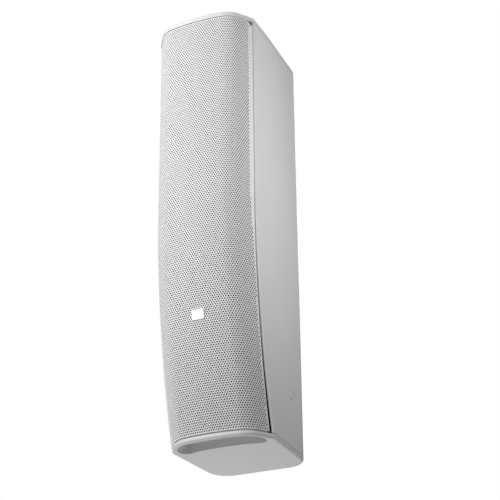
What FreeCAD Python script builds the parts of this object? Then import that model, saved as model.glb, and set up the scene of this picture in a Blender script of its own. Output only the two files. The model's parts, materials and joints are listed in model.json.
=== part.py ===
import FreeCAD, Part
import os
import re
import Sketcher

# Column line array loudspeaker: a tall enclosure with a bowed, perforated front whose lower
# part curves back, four cone woofers behind sixteen dome tweeters, and a recessed input cup.
# Frame: X to the right, front towards -Y, Z up. The origin is the centre of the four wall
# inserts, on the flat back of the enclosure, halfway up.

Vector = FreeCAD.Vector
Rotation = FreeCAD.Rotation
Placement = FreeCAD.Placement

DIMENSIONS = {
    # Enclosure
    "cabinet_height": 695,
    "cabinet_width": 170,
    "side_depth": 202.4,
    "wall_thickness": 4,
    "crease_setback": 60,
    "crease_width": 168.9,
    "rear_width": 156.4,
    "rear_corner_radius": 34.6,
    "nose_radius": 1.9,
    # The front: its bow seen from above, and its curve seen from the side
    "front_bow": 42.6,
    "front_radius": 280,
    "knee_radius": 38,
    "diagonal_angle": 56,
    "curve_start": 37.7,
    "curve_radius": 1298,
    # Caps
    "cap_height": 7,
    "top_cap_height": 8.5,
    "seam_gap": 0.9,
    "gasket_inset": 1.6,
    "cap_edge_radius": 2.4,
    "sole_edge_radius": 4.5,
    "rim_height": 6,
    "rim_width": 4,
    "slip": 0.3,
    "lip_bow": 42,
    "lip_width": 5,
    "scoop_half_width": 71,
    "scoop_length": 43,
    "scoop_depth": 20,
    "scoop_corner_radius": 12,
    "scoop_end_slope": 12,
    "tray_wall": 2,
    # Grille, cloth, clips and badge
    "grille_inset": 0.8,
    "grille_sheet": 1.2,
    "grille_end_gap": 1.5,
    "grille_low_gap": 2.8,
    "grille_curve_radius": 1212,
    "cloth_inset": 2.3,
    "cloth_thickness": 1,
    "cloth_end_gap": 12,
    "clip_width": 5,
    "clip_depth": 7.5,
    "clip_height": 20,
    "clip_inset": 8.5,
    "clip_first": 74,
    "clip_pitch": 151,
    "grille_corner_width": 8.5,
    "grille_corner_height": 9.5,
    "badge_width": 20,
    "badge_rise": 16,
    "badge_thickness": 1.2,
    "badge_height": 179,
    # Baffle and braces
    "baffle_setback": 6,
    "baffle_thickness": 12,
    "baffle_side_gap": 1.3,
    "baffle_screw_offset": 68,
    "brace_thickness": 9,
    "brace_edge": 20,
    "lining_width": 46,
    "lining_thickness": 10,
    # Woofers
    "woofer_count": 4,
    "woofer_first": 118,
    "woofer_pitch": 163,
    "woofer_radius": 66.5,
    "woofer_hole_radius": 60.5,
    "seat_depth": 3,
    "bolt_circle_radius": 62.8,
    "coil_radius": 13.05,
    "cone_radius": 47,
    "cone_depth": 22,
    "motor_start": 41,
    "magnet_radius": 45,
    "magnet_thickness": 16,
    "plate_thickness": 5,
    # Tweeters
    "tweeter_pitch": 40,
    "tweeter_bar_width": 46,
    "tweeter_bar_length": 158,
    "tweeter_bar_back": 30,
    "tweeter_bar_thickness": 5,
    "tweeter_hole_radius": 13,
    "tweeter_dome_sphere": 14,
    "tweeter_dome_rim": 32,
    "tweeter_magnet_radius": 16,
    "tweeter_magnet_length": 14,
    "tweeter_bar_corner": 6,
    "post_radius": 4,
    "post_rise": 74.5,
    "post_side": 18,
    # Back: wall inserts and input cup
    "insert_spacing_x": 70,
    "insert_spacing_z": 127,
    "insert_bore_radius": 3,
    "insert_radius": 4.5,
    "insert_length": 14,
    "boss_radius": 9,
    "boss_length": 16,
    "side_point_depth": 71,
    "side_point_drop": 263,
    "side_point_radius": 2.5,
    "side_point_length": 9,
    "side_panel_width": 32,
    "side_panel_height": 38,
    "side_panel_recess": 0.8,
    "cup_height_centre": 205,
    "cup_width": 74,
    "cup_height": 164,
    "cup_depth": 30,
    "cup_wall": 3,
    "cup_flange": 5,
    "cup_flange_thickness": 2,
    "cup_corner_radius": 7,
    # Terminals and switches inside the cup
    "terminal_count": 4,
    "terminal_pitch": 13,
    "terminal_block_width": 56,
    "terminal_block_depth": 13,
    "terminal_block_height": 24,
    "terminal_drop": 57,
    "cover_width": 57,
    "cover_thickness": 2,
    "cover_height": 31,
    "pin_radius": 1.25,
    "barrel_radius": 3,
    "running_fit": 0.05,
    "knob_radius": 12,
    "knob_length": 12,
    "shaft_radius": 3,
    "selector_radius": 14,
    "selector_length": 20,
    "slider_rise": 34,
    "slider_spacing": 22,
    "slider_travel": 4,
    "slider_size": 5,
    "slide_can_width": 22,
    "slide_can_depth": 8,
    "slide_can_height": 10,
    # Electronics
    "board_width": 80,
    "board_height": 150,
    "board_thickness": 1.6,
    "board_distance": 30,
    "core_width": 60,
    "core_depth": 40,
    "core_height": 46,
    "core_setback": 72,
    "board_post_radius": 3,
    "board_coil_radius": 18,
    "board_coil_length": 14,
    "capacitor_radius": 7,
    "capacitor_length": 32,
    "capacitor_pitch": 17,
    "resistor_length": 38,
    "resistor_pitch": 16,
    "resistor_depth": 9.6,
    "resistor_height": 9,
    # Wiring
    "trunk_radius": 3,
    "branch_radius": 2,
    "wire_offset": 52,
    "wire_depth": 62,
    "wire_slack": 38,
    # Fasteners
    "head_radius": 3.6,
    "head_height": 2.2,
    "screw_radius": 2,
    "screw_length": 16,
    "cup_screw_head_radius": 1.9,
    "cup_screw_head_height": 1.1,
    "cup_screw_radius": 1.1,
    "cup_screw_length": 6,
    "cup_screw_margin": 6,
}

doc = FreeCAD.newDocument("column_speaker")
sheet = doc.addObject("Spreadsheet::Sheet", "Dims")
for row, (alias, number) in enumerate(DIMENSIONS.items(), start=1):
    sheet.set(f"A{row}", alias)
    sheet.set(f"B{row}", str(number))
    sheet.setAlias(f"B{row}", alias)
doc.recompute()

nodes = {}


# Expressions ------------------------------------------------------------------------------


def in_sheet(text):
    """The text as an expression, with each driving dimension read from the sheet."""

    def named(word):
        return "Dims." + word.group() if word.group() in DIMENSIONS else word.group()

    return re.sub(r"[a-z_]+", named, text)


def bind(item, field, text):
    item.setExpression(field, in_sheet(text))


def measure(text):
    """The present value of an expression."""
    found = sheet.evalExpression(in_sheet(text))
    return float(getattr(found, "Value", found))


def curve_drop(height, radius="curve_radius"):
    """How far the front curve lies back at a height, as an expression."""
    below = f"max(0; curve_start - ({height}))"
    return f"({radius} - sqrt({radius} ^ 2 - {below} ^ 2))"


def curve_tilt(height, radius="curve_radius"):
    return f"asin(max(0; curve_start - ({height})) / {radius})"


def on_baffle(height, reach, up="0"):
    """Depth and height of a point behind the baffle's face, square to it at a height."""
    tilt = curve_tilt(height)
    depth = (
        f"(baffle_setback - side_depth + {curve_drop(height)}"
        f" + ({reach}) * cos({tilt}) - ({up}) * sin({tilt}))"
    )
    level = f"({height} + ({reach}) * sin({tilt}) + ({up}) * cos({tilt}))"
    return depth, level


def side_half(depth, inset):
    """Half the width between the side walls at a depth behind the crease, set in."""
    return f"(rear_width / 2 - ({depth}) * tan({TAPER}) - {inset} / cos({TAPER}))"


BOTTOM = "(-cabinet_height / 2)"
TOP = "(cabinet_height / 2)"
SHELL_BOTTOM = f"({BOTTOM} + cap_height + seam_gap)"
SHELL_TOP = f"({TOP} - top_cap_height - seam_gap)"
TRAY_TOP = f"({BOTTOM} + scoop_depth + tray_wall)"
SLANT = "(diagonal_angle * 1 deg)"
TAPER = "atan((crease_width - rear_width) / 2 / (side_depth - crease_setback))"


# Sketches and bodies ----------------------------------------------------------------------


def new_body(label):
    body = doc.addObject("PartDesign::Body", label)
    body.Label = label
    return body


def new_sketch(body, role, name, lift="0"):
    plane = next(item for item in body.Origin.OriginFeatures if item.Role == role)
    sketch = body.newObject("Sketcher::SketchObject", name)
    sketch.AttachmentSupport = [(plane, "")]
    sketch.MapMode = "FlatFace"
    bind(sketch, "AttachmentOffset.Base.z", lift)
    return sketch


def draw_edges(sketch, corners, closed=True):
    """Lines and arcs through corners (x, y), or (x, y, radius, turn) where an arc leaves."""
    spots = [Vector(measure(corner[0]), measure(corner[1]), 0) for corner in corners]
    edges = []
    count = len(corners) if closed else len(corners) - 1
    for index in range(count):
        start = spots[index]
        end = spots[(index + 1) % len(spots)]
        if len(corners[index]) == 2:
            edge = sketch.addGeometry(Part.LineSegment(start, end), False)
            edges.append((edge, 1, 2))
            continue
        radius = measure(corners[index][2])
        side = 1 if corners[index][3] == "left" else -1
        half = (end - start) * 0.5
        left = Vector(-half.y, half.x, 0).normalize()
        reach = max(radius**2 - half.Length**2, 0) ** 0.5
        centre = start + half + left * side * reach
        circle = Part.Circle(centre, Vector(0, 0, 1), radius)
        first, last = (start, end) if side > 0 else (end, start)
        arc = Part.ArcOfCircle(circle, circle.parameter(first), circle.parameter(last))
        edge = sketch.addGeometry(arc, False)
        edges.append((edge, 1, 2) if side > 0 else (edge, 2, 1))
        bound = sketch.addConstraint(Sketcher.Constraint("Radius", edge, radius))
        bind(sketch, f"Constraints[{bound}]", corners[index][2])
    for index, (edge, first, last) in enumerate(edges):
        bind_point(sketch, edge, first, corners[index])
        if index + 1 < len(edges) or closed:
            following = edges[(index + 1) % len(edges)]
            sketch.addConstraint(
                Sketcher.Constraint("Coincident", edge, last, following[0], following[1])
            )
    if not closed:
        bind_point(sketch, edges[-1][0], edges[-1][2], corners[-1])


def bind_point(sketch, edge, end, corner):
    for kind, text in (("DistanceX", corner[0]), ("DistanceY", corner[1])):
        rule = Sketcher.Constraint(kind, -1, 1, edge, end, measure(text))
        bind(sketch, f"Constraints[{sketch.addConstraint(rule)}]", text)


def draw_circle(sketch, x, y, radius):
    centre = Vector(measure(x), measure(y), 0)
    ring = sketch.addGeometry(Part.Circle(centre, Vector(0, 0, 1), measure(radius)), False)
    rule = sketch.addConstraint(Sketcher.Constraint("Radius", ring, measure(radius)))
    bind(sketch, f"Constraints[{rule}]", radius)
    bind_point(sketch, ring, 3, (x, y))


def draw_rectangle(sketch, width, height, x="0", y="0"):
    corners = []
    for across, up in ((-1, -1), (1, -1), (1, 1), (-1, 1)):
        corners.append((f"{x} + {across} * ({width}) / 2", f"{y} + {up} * ({height}) / 2"))
    draw_edges(sketch, corners)


def draw_rounded(sketch, width, height, radius, y="0"):
    """A rectangle with rounded corners, about (0, y)."""
    across = f"({width}) / 2"
    up = f"({height}) / 2"
    corners = [
        (f"-{across} + {radius}", f"{y} - {up}"),
        (f"{across} - {radius}", f"{y} - {up}", radius, "left"),
        (across, f"{y} - {up} + {radius}"),
        (across, f"{y} + {up} - {radius}", radius, "left"),
        (f"{across} - {radius}", f"{y} + {up}"),
        (f"-{across} + {radius}", f"{y} + {up}", radius, "left"),
        (f"-{across}", f"{y} + {up} - {radius}"),
        (f"-{across}", f"{y} - {up} + {radius}", radius, "left"),
    ]
    draw_edges(sketch, corners)


def pad(body, sketch, length, reverse=False, midplane=False):
    feature = body.newObject("PartDesign::Pad", f"{sketch.Name}_pad")
    feature.Profile = sketch
    feature.Reversed = reverse
    feature.Midplane = midplane
    bind(feature, "Length", length)
    return feature


def pocket(body, sketch, length=None, reverse=False):
    feature = body.newObject("PartDesign::Pocket", f"{sketch.Name}_pocket")
    feature.Profile = sketch
    feature.Reversed = reverse
    if length is None:
        feature.Type = "ThroughAll"
        feature.Midplane = True
    else:
        bind(feature, "Length", length)
    return feature


def fillet(body, feature, radius, wanted):
    """Round the edges of a feature that the function wanted picks."""
    doc.recompute()
    names = []
    for number, edge in enumerate(feature.Shape.Edges, start=1):
        if wanted(edge):
            names.append(f"Edge{number}")
    rounding = body.newObject("PartDesign::Fillet", f"{body.Name}_rounding")
    rounding.Base = (feature, names)
    bind(rounding, "Radius", radius)
    return rounding


def revolve(label, corners):
    """A body turned about its own Y axis from a half section of (radius, depth) corners."""
    body = new_body(label)
    sketch = new_sketch(body, "XY_Plane", f"{label}_section")
    draw_edges(sketch, corners)
    turned = body.newObject("PartDesign::Revolution", f"{label}_turned")
    turned.Profile = sketch
    turned.ReferenceAxis = (sketch, ["V_Axis"])
    turned.Angle = 360
    return body


def keep(item, label):
    item.Label = label
    nodes[label] = item
    return item


# Primitives and booleans ------------------------------------------------------------------


def put(item, x, y, z, tilt="0 deg", axis=(1, 0, 0)):
    """Bind a primitive's place, and its turn about an axis."""
    item.Placement = Placement(Vector(), Rotation(Vector(*axis), 10))
    bind(item, "Placement.Base.x", x)
    bind(item, "Placement.Base.y", y)
    bind(item, "Placement.Base.z", z)
    bind(item, "Placement.Rotation.Angle", tilt)
    return item


def block(name, size, centre=("0", "0", "0")):
    """A box of three sizes about a centre."""
    item = doc.addObject("Part::Box", name)
    for field, text in zip(("Length", "Width", "Height"), size):
        bind(item, field, text)
    starts = [f"{middle} - ({text}) / 2" for middle, text in zip(centre, size)]
    return put(item, *starts)


def rod(name, radius, length, start, tilt="0 deg", axis=(1, 0, 0)):
    """A cylinder from a start point, along +Z before its turn."""
    item = doc.addObject("Part::Cylinder", name)
    bind(item, "Radius", radius)
    bind(item, "Height", length)
    return put(item, *start, tilt, axis)


def joined(name, items):
    item = doc.addObject("Part::MultiFuse", name)
    item.Shapes = items
    return item


def cut(name, base, tool):
    item = doc.addObject("Part::Cut", name)
    item.Base = base
    item.Tool = tool
    return item


def group(name, items):
    """Separate solids kept together as one node."""
    item = doc.addObject("Part::Compound", name)
    item.Links = items
    return item


# Plan of the enclosure, seen from above ---------------------------------------------------


def front_run(base, half, bow, inset="0", advance="0"):
    """Corners of the bowed front from right tip to left tip, set in from the outer line."""
    gap = f"({bow} - front_radius + knee_radius * cos({SLANT}))"
    side = f"({half} - knee_radius * sin({SLANT}))"
    span = "(front_radius - knee_radius)"
    along = (
        f"({side} * cos({SLANT}) + {gap} * sin({SLANT})"
        f" + sqrt({span} ^ 2 - ({side} * sin({SLANT}) - {gap} * cos({SLANT})) ^ 2))"
    )
    tip = (
        f"({half} - {inset} / sin({SLANT}) - {advance} / tan({SLANT}))",
        f"({base} - {advance})",
    )
    shoulder = (
        f"({half} - {along} * cos({SLANT}) - {inset} * sin({SLANT}))",
        f"({base} - {along} * sin({SLANT}) + {inset} * cos({SLANT}))",
    )
    brow = (
        f"((front_radius - {inset}) * ({side} - {along} * cos({SLANT})) / {span})",
        f"({base} - {bow} + front_radius"
        f" + (front_radius - {inset}) * ({gap} - {along} * sin({SLANT})) / {span})",
    )
    knee = f"knee_radius - {inset}"
    return [
        tip,
        (*shoulder, knee, "right"),
        (*brow, f"front_radius - {inset}", "right"),
        (f"-{brow[0]}", brow[1], knee, "right"),
        (f"-{shoulder[0]}", shoulder[1]),
        (f"-{tip[0]}", tip[1]),
    ]


def rear_run(inset="0", crease=True):
    """Corners of the sides and back, from the left crease round to the right crease."""
    reach = f"(rear_corner_radius * tan(45 deg - {TAPER} / 2))"
    taper_end = (
        f"(rear_width / 2 + {reach} * sin({TAPER}) - {inset} * cos({TAPER}))",
        f"(-{reach} * cos({TAPER}) - {inset} * sin({TAPER}))",
    )
    back_end = (f"(rear_width / 2 - {reach})", f"(-{inset})")
    bend = f"rear_corner_radius - {inset}"
    run = [
        (f"-{taper_end[0]}", taper_end[1], bend, "right"),
        (f"-{back_end[0]}", back_end[1]),
        (*back_end, bend, "right"),
        taper_end,
    ]
    if crease:
        half = f"(crease_width / 2 - {inset} / cos({TAPER}))"
        run.insert(0, (f"-{half}", "(crease_setback - side_depth)"))
        run.append((half, "(crease_setback - side_depth)"))
    return run


def backwards(run):
    """The same corners in the other order, each arc kept between its two corners."""
    turned = []
    for index in range(len(run) - 1, -1, -1):
        arc = run[index - 1][2:] if index else ()
        if arc:
            arc = (arc[0], "left" if arc[1] == "right" else "right")
        turned.append((*run[index][:2], *arc))
    return turned


def front_section(name, first, last, start, bottom, top, radius="curve_radius"):
    """A body between two depths behind the wall nose, following the front curve."""
    body = new_body(name)
    sketch = new_sketch(body, "YZ_Plane", f"{name}_side")
    near = f"(-side_depth + {first})"
    far = f"(-side_depth + {last})"
    drop = curve_drop(bottom, radius)
    draw_edges(
        sketch,
        [
            (near, top),
            (far, top),
            (far, "curve_start", radius, "left"),
            (f"{far} + {drop}", bottom),
            (f"{near} + {drop}", bottom, radius, "right"),
            (near, "curve_start"),
        ],
    )
    pad(body, sketch, start, midplane=True)
    return body


# Enclosure shell --------------------------------------------------------------------------


def side_sketch(body, side, name, depth, x="0", y="0"):
    """A sketch parallel to a side wall, a depth inside its surface, at the side point."""
    sketch = new_sketch(body, "YZ_Plane", name)
    sketch.AttachmentOffset = Placement(Vector(), Rotation(Vector(0, side, 0), 1))
    surface = f"(rear_width / 2 + side_point_depth * tan({TAPER}))"
    bind(sketch, "AttachmentOffset.Base.x", f"-side_point_depth - {depth} * sin({TAPER})")
    bind(sketch, "AttachmentOffset.Base.y", "-side_point_drop")
    bind(sketch, "AttachmentOffset.Base.z", f"{side} * ({surface} - {depth} * cos({TAPER}))")
    bind(sketch, "AttachmentOffset.Rotation.Angle", TAPER)
    return sketch


def cut_side_point(body, side):
    """A shallow recess in a side wall with a blind hole for a safety cable's screw."""
    inward = side > 0
    boss = side_sketch(body, side, f"side_boss_{side + 1}", "(wall_thickness - 0.5)")
    draw_circle(boss, "0", "0", "side_point_radius + 4")
    pad(body, boss, "side_point_length + 3 - wall_thickness", reverse=inward)
    recess = side_sketch(body, side, f"side_recess_{side + 1}", "0")
    draw_rounded(recess, "side_panel_width", "side_panel_height", "5", "(-6)")
    pocket(body, recess, "side_panel_recess", reverse=not inward)
    hole = side_sketch(body, side, f"side_hole_{side + 1}", "0")
    draw_circle(hole, "0", "0", "side_point_radius")
    return pocket(body, hole, "side_point_length", reverse=not inward)


def make_shell():
    body = new_body("enclosure_shell")
    plan = new_sketch(body, "XY_Plane", "shell_plan", SHELL_BOTTOM)
    outer = [("-cabinet_width / 2", "-side_depth"), *rear_run()]
    outer.append(("cabinet_width / 2", "-side_depth"))
    inner = [("-cabinet_width / 2 + wall_thickness", "-side_depth")]
    inner += rear_run("wall_thickness")
    inner.append(("cabinet_width / 2 - wall_thickness", "-side_depth"))
    draw_edges(plan, outer + backwards(inner))
    pad(body, plan, f"{SHELL_TOP} - {SHELL_BOTTOM}")

    sweep = new_sketch(body, "YZ_Plane", "shell_front_curve")
    drop = curve_drop(f"{BOTTOM} - 5")
    draw_edges(
        sweep,
        [
            ("-side_depth", "curve_start", "curve_radius", "left"),
            (f"-side_depth + {drop}", f"{BOTTOM} - 5"),
            ("-side_depth - 5", f"{BOTTOM} - 5"),
            ("-side_depth - 5", "curve_start"),
        ],
    )
    pocket(body, sweep)

    bosses = new_sketch(body, "XZ_Plane", "insert_bosses", "wall_thickness - 0.5")
    holes = new_sketch(body, "XZ_Plane", "insert_holes")
    for across in (-1, 1):
        for up in (-1, 1):
            spot = (f"{across} * insert_spacing_x / 2", f"{up} * insert_spacing_z / 2")
            draw_circle(bosses, *spot, "boss_radius")
            draw_circle(holes, *spot, "insert_radius")
    pad(body, bosses, "boss_length - wall_thickness + 0.5")
    pocket(body, holes, "insert_length", reverse=True)

    rebate = new_sketch(body, "XZ_Plane", "cup_rebate")
    draw_rounded(
        rebate,
        "cup_width + 2 * cup_flange + 2 * slip",
        "cup_height + 2 * cup_flange + 2 * slip",
        "cup_corner_radius",
        "-cup_height_centre",
    )
    pocket(body, rebate, "cup_flange_thickness + slip", reverse=True)
    opening = new_sketch(body, "XZ_Plane", "cup_opening")
    draw_rounded(
        opening,
        "cup_width + 2 * slip",
        "cup_height + 2 * slip",
        "(cup_corner_radius - 2)",
        "-cup_height_centre",
    )
    pocket(body, opening, "wall_thickness * 2", reverse=True)
    for side in (-1, 1):
        last = cut_side_point(body, side)

    half = measure("cabinet_width / 2")

    def on_nose(edge):
        for vertex in edge.Vertexes:
            spot = vertex.Point
            nose = measure(f"-side_depth + {curve_drop(str(spot.z))}")
            if abs(spot.y - nose) > 0.01 or half - abs(spot.x) > 1:
                return False
        return abs(edge.BoundBox.ZLength) > 1

    fillet(body, last, "nose_radius", on_nose)
    keep(body, "enclosure_shell")


# Caps -------------------------------------------------------------------------------------


def on_level(height):
    """Picks the edges that lie at one height."""

    def wanted(edge):
        box = edge.BoundBox
        return abs(box.ZMin - height) < 0.01 and abs(box.ZMax - height) < 0.01

    return wanted


def make_top_cap():
    body = new_body("top_cap")
    plan = new_sketch(body, "XY_Plane", "top_cap_plan", f"{TOP} - top_cap_height")
    draw_edges(plan, front_run("(-side_depth)", "cabinet_width / 2", "front_bow") + rear_run())
    pad(body, plan, "top_cap_height")
    front = "(baffle_setback + baffle_thickness + slip - side_depth)"
    rim = new_sketch(body, "XY_Plane", "top_cap_rim", f"{TOP} - top_cap_height")
    for inset in ("(wall_thickness + slip)", "(wall_thickness + slip + rim_width)"):
        setback = f"({front} + {inset} - wall_thickness)"
        run = rear_run(inset)
        run.insert(0, (run[0][0], setback))
        run.append((run[-1][0], setback))
        draw_edges(rim, run)
    last = pad(body, rim, "rim_height", reverse=True)
    fillet(body, last, "cap_edge_radius", on_level(measure(TOP)))
    keep(body, "top_cap")


def make_bottom_cap():
    body = new_body("bottom_cap_blank")
    base = "(crease_setback - side_depth)"
    half = "(crease_width / 2)"
    plan = new_sketch(body, "XY_Plane", "bottom_cap_plan", BOTTOM)
    draw_edges(plan, front_run(base, half, "lip_bow") + rear_run(crease=False))
    sole = pad(body, plan, "cap_height")
    fillet(body, sole, "sole_edge_radius", on_level(measure(BOTTOM)))

    def scoop_outline(sketch, inset, wall):
        """The lip line set in, closed by the same line moved back by the scoop's length."""
        reach = f"({half} - scoop_half_width - {wall})"
        front = front_run(
            base,
            half,
            "lip_bow",
            inset,
            f"(({reach} - {inset} / sin({SLANT})) * tan({SLANT}))",
        )
        back = front_run(
            f"({base} + scoop_length + {wall} / cos({SLANT}))",
            half,
            "lip_bow",
            advance=f"({reach} * tan({SLANT}))",
        )
        draw_edges(sketch, front + backwards(back))

    tray = new_sketch(body, "XY_Plane", "scoop_tray", f"{BOTTOM} + cap_height / 2")
    scoop_outline(tray, "(lip_width - tray_wall)", "tray_wall")
    pad(body, tray, "scoop_depth + tray_wall - cap_height / 2")
    hollow = new_body("scoop_hollow")
    scoop = new_sketch(hollow, "XY_Plane", "scoop", BOTTOM)
    scoop_outline(scoop, "lip_width", "0")
    filled = pad(hollow, scoop, "scoop_depth")
    end = measure("scoop_half_width")
    middle = measure(f"{base} + scoop_length / 2 - ({half} - scoop_half_width) * tan({SLANT})")

    def on_rear_corner(edge):
        box = edge.BoundBox
        upright = box.ZLength > 1 and box.XLength < 0.01 and box.YLength < 0.01
        return upright and abs(abs(box.XMin) - end) < 0.01 and box.YMin > middle

    fillet(hollow, filled, "scoop_corner_radius", on_rear_corner)
    slopes = new_sketch(hollow, "XZ_Plane", "scoop_end_slopes")
    ceiling = f"{BOTTOM} + scoop_depth + 1"
    for side in (-1, 1):
        inner = f"{side} * (scoop_half_width - scoop_end_slope)"
        outer = f"{side} * (scoop_half_width + 1)"
        draw_edges(slopes, [(inner, ceiling), (outer, f"{BOTTOM} - 1"), (outer, ceiling)])
    pocket(hollow, slopes)

    rim = new_sketch(body, "XY_Plane", "bottom_cap_rim", f"{BOTTOM} + cap_height")
    for inset in ("(wall_thickness + slip)", "(wall_thickness + slip + rim_width)"):
        setback = f"({base} + scoop_length - 2 * wall_thickness + {inset})"
        run = rear_run(inset, crease=False)
        run.insert(0, (f"-{side_half(setback, inset)}", setback))
        run.append((side_half(setback, inset), setback))
        draw_edges(rim, run)
    pad(body, rim, "rim_height")
    keep(cut("scooped_cap", body, hollow), "bottom_cap")


def make_seam_gaskets():
    """Two soft rings that close the seams between the shell and its caps."""
    rings = []
    for name, low in (("lower_seam", f"{BOTTOM} + cap_height"), ("upper_seam", SHELL_TOP)):
        body = new_body(name)
        plan = new_sketch(body, "XY_Plane", f"{name}_plan", low)
        front = f"(baffle_setback - side_depth + {curve_drop(low)})"
        runs = []
        for inset in ("gasket_inset", "(wall_thickness - 0.4)"):
            run = rear_run(inset, crease=name == "upper_seam")
            half = run[-1][0] if name == "upper_seam" else side_half(front, inset)
            runs.append([(f"-{half}", front), *run, (half, front)])
        draw_edges(plan, runs[0] + backwards(runs[1]))
        pad(body, plan, "seam_gap")
        rings.append(body)
    keep(group("seam_gasket_pair", rings), "seam_gaskets")


# Grille -----------------------------------------------------------------------------------


def curved_sheet(label, inset, thickness, end_gap, low, high):
    """A bowed sheet carried down the front curve without turning."""
    body = new_body(label)
    plan = new_sketch(body, "XY_Plane", f"{label}_plan", high)
    outer = front_run("(-side_depth)", "cabinet_width / 2", "front_bow", inset, end_gap)
    deeper = f"({inset} + {thickness})"
    inner = front_run("(-side_depth)", "cabinet_width / 2", "front_bow", deeper, end_gap)
    draw_edges(plan, outer + backwards(inner))
    route = new_sketch(body, "YZ_Plane", f"{label}_route")
    drop = curve_drop(low, "grille_curve_radius")
    draw_edges(
        route,
        [
            ("-side_depth", high),
            ("-side_depth", "curve_start", "grille_curve_radius", "left"),
            (f"-side_depth + {drop}", low),
        ],
        closed=False,
    )
    sheet_pipe = body.newObject("PartDesign::AdditivePipe", f"{label}_sheet")
    sheet_pipe.Profile = plan
    sheet_pipe.Spine = route
    sheet_pipe.Mode = "Fixed"
    return keep(body, label)


def make_grille():
    low = f"({BOTTOM} + cap_height + grille_low_gap)"
    high = f"({TOP} - top_cap_height - 1.2)"
    overlong = "(grille_end_gap / 3)"
    grille = curved_sheet("grille", "grille_inset", "grille_sheet", overlong, low, high)
    ends = new_sketch(grille, "YZ_Plane", "grille_ends")
    near = "(-side_depth - grille_end_gap)"
    draw_edges(
        ends,
        [
            (near, f"{high} + 1"),
            (near, "curve_start", "curve_radius", "left"),
            (f"{near} + {curve_drop(f'{low} - 1')}", f"{low} - 1"),
            ("0", f"{low} - 1"),
            ("0", f"{high} + 1"),
        ],
    )
    pocket(grille, ends)
    corners = new_sketch(grille, "XZ_Plane", "grille_corners")
    for side in (-1, 1):
        start = f"{side} * (cabinet_width / 2 - grille_corner_width)"
        end = f"{side} * cabinet_width / 2"
        outline = [(start, high), (start, f"{high} + 1"), (end, f"{high} + 1")]
        outline.append((end, f"{high} - grille_corner_height"))
        draw_edges(corners, outline)
    pocket(grille, corners)
    curved_sheet(
        "grille_cloth",
        "cloth_inset",
        "cloth_thickness",
        "cloth_end_gap",
        f"({BOTTOM} + cap_height + 5)",
        f"{high} - 2",
    )

    clips = []
    for side in (-1, 1):
        for index in range(4):
            level = f"({BOTTOM} + clip_first + {index} * clip_pitch)"
            clip = block(f"clip_{index}_{side + 1}", ("clip_width", "clip_depth", "clip_height"))
            across = f"{side} * (cabinet_width / 2 - clip_inset) - clip_width / 2"
            start = on_baffle(level, "-clip_depth - 0.1", "-clip_height / 2")
            clips.append(put(clip, across, *start, curve_tilt(level)))
    keep(group("clip_group", clips), "grille_clips")

    level = f"({BOTTOM} + badge_height)"
    badge = new_body("badge")
    plate = new_sketch(badge, "XZ_Plane", "badge_plate")
    draw_rounded(plate, "badge_width", "badge_rise", "1.2")
    raised = pad(badge, plate, "badge_thickness")
    face = -measure("badge_thickness")

    def on_front(edge):
        return abs(edge.BoundBox.YMin - face) < 0.01 and abs(edge.BoundBox.YMax - face) < 0.01

    fillet(badge, raised, "badge_thickness / 3", on_front)
    ahead = f"(-side_depth - front_bow + {curve_drop(level, 'grille_curve_radius')})"
    tilt = curve_tilt(level, "grille_curve_radius")
    put(badge, "0", f"{ahead} + grille_inset - 0.05", level, tilt)
    keep(badge, "badge")


# Baffle, braces and lining ----------------------------------------------------------------


def woofer_height(index):
    return f"({BOTTOM} + woofer_first + {index} * woofer_pitch)"


def driver_place(item, index):
    """Place a driver part square to the front curve, its seat sunk below the baffle face."""
    level = woofer_height(index)
    return put(item, "0", *on_baffle(level, "seat_depth"), curve_tilt(level))


def driver_rod(name, index, radius, start, length, across="0", up="0"):
    """A round tool along a driver's axis, from a depth behind its seat plane."""
    level = woofer_height(index)
    spot = (across, *on_baffle(level, f"seat_depth + {start}", up))
    return rod(name, radius, length, spot, f"-90 deg + {curve_tilt(level)}")


def post_corners():
    """Where a tweeter bar's four posts stand, across and up from the driver's axis."""
    signs = ((-1, -1), (1, -1), (1, 1), (-1, 1))
    return [(f"{across} * post_side", f"{up} * post_rise") for across, up in signs]


def make_baffle():
    blank = front_section(
        "baffle_blank",
        "baffle_setback",
        "(baffle_setback + baffle_thickness)",
        "cabinet_width - 2 * wall_thickness - 2 * baffle_side_gap",
        f"({TRAY_TOP} + slip)",
        f"({TOP} - top_cap_height - slip)",
    )
    tools = []
    for index in range(DIMENSIONS["woofer_count"]):
        tools.append(driver_rod(f"bore_{index}", index, "woofer_hole_radius", "-8", "40"))
        tools.append(driver_rod(f"seat_{index}", index, "woofer_radius + slip", "-8", "8"))
        for corner, (across, up) in enumerate(post_corners()):
            socket = ("post_radius + slip", "-8", "8")
            tools.append(driver_rod(f"socket_{index}_{corner}", index, *socket, across, up))
    keep(cut("bored_baffle", blank, joined("baffle_tools", tools)), "front_baffle")


def brace_height(index):
    return f"({woofer_height(index)} + woofer_pitch / 2)"


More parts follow.
